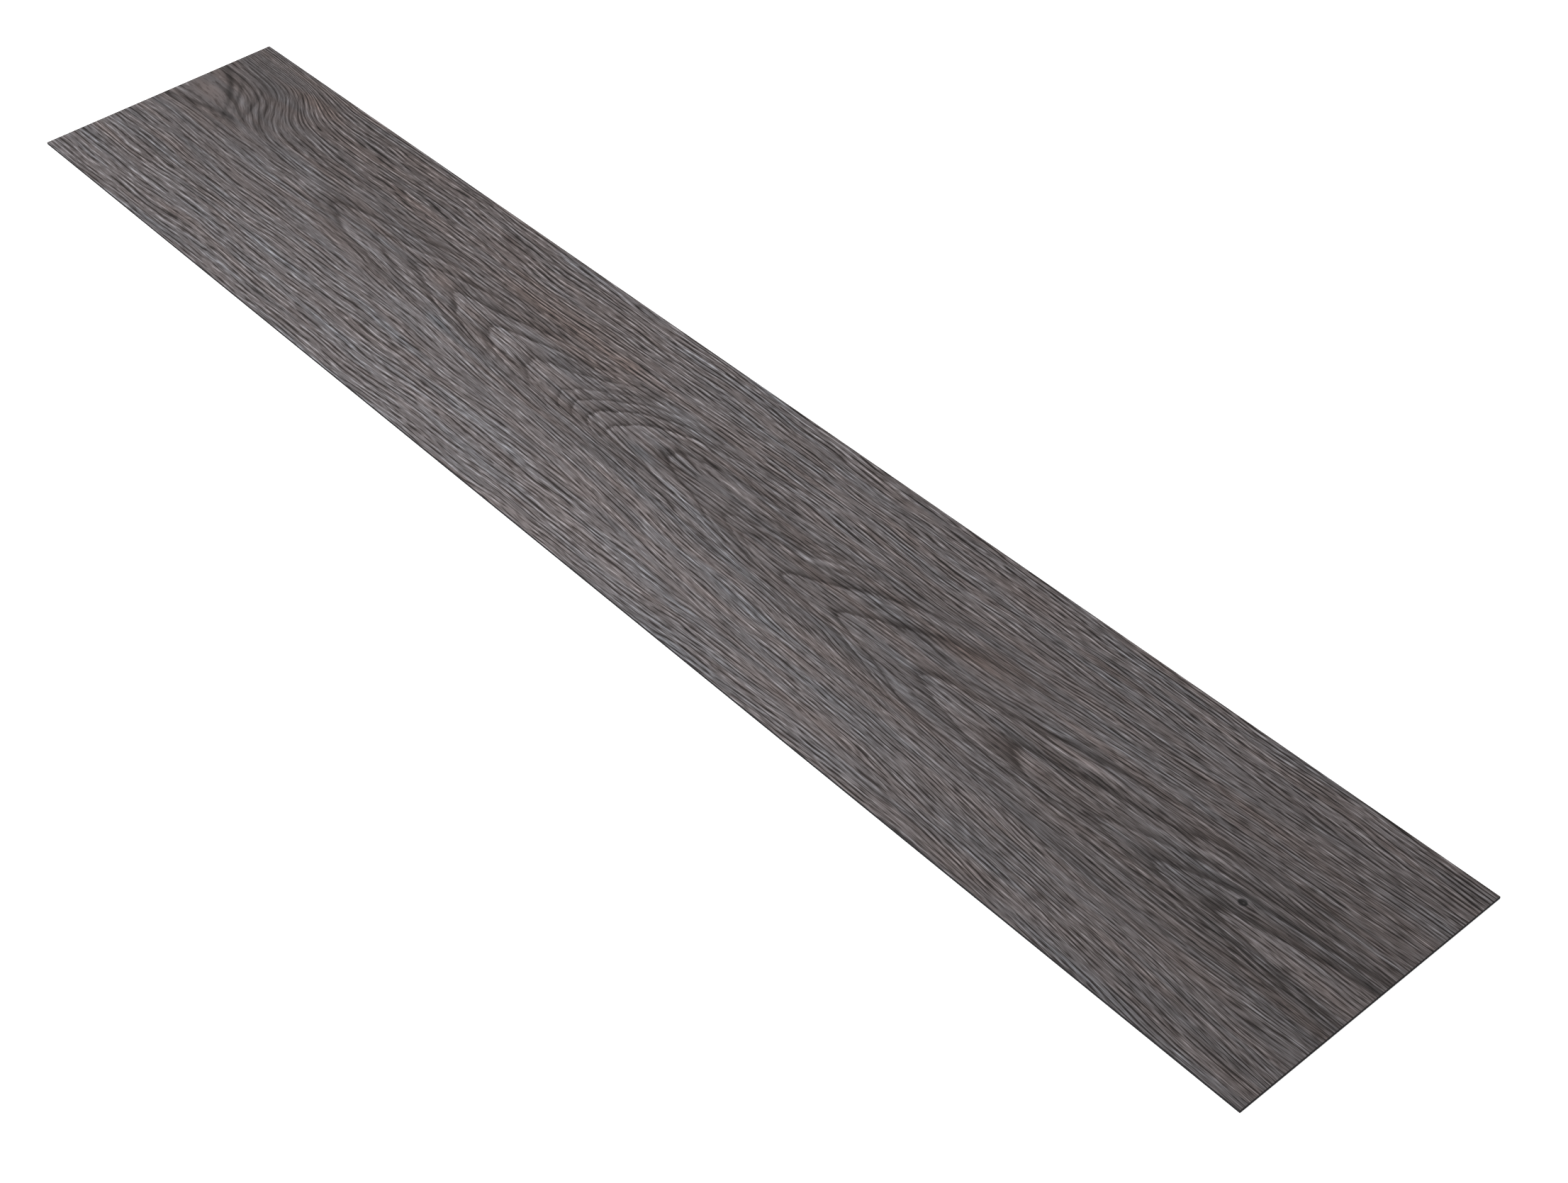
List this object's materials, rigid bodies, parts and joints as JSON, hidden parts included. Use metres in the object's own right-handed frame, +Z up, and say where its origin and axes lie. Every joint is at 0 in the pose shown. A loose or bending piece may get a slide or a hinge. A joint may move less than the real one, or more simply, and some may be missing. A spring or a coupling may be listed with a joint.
{
  "type": "vinyl floor plank",
  "caption": "Thin flat wood-effect floor plank with square-cut butt edges and an eased top arris, printed and embossed like grey-brown oak.",
  "frame": {"origin": "on the back of the plank, under the middle of its face, at the floor", "axes": "+X along the plank towards the end with the pin knot, +Y across it, +Z up out of the printed face"},
  "size_m": [0.9144, 0.1524, 0.0015],
  "materials": {
    "printed_vinyl": "satin embossed grey oak print on a charcoal backing"
  },
  "bodies": {
    "root": {"plank": "printed_vinyl"}
  },
  "joints": []
}
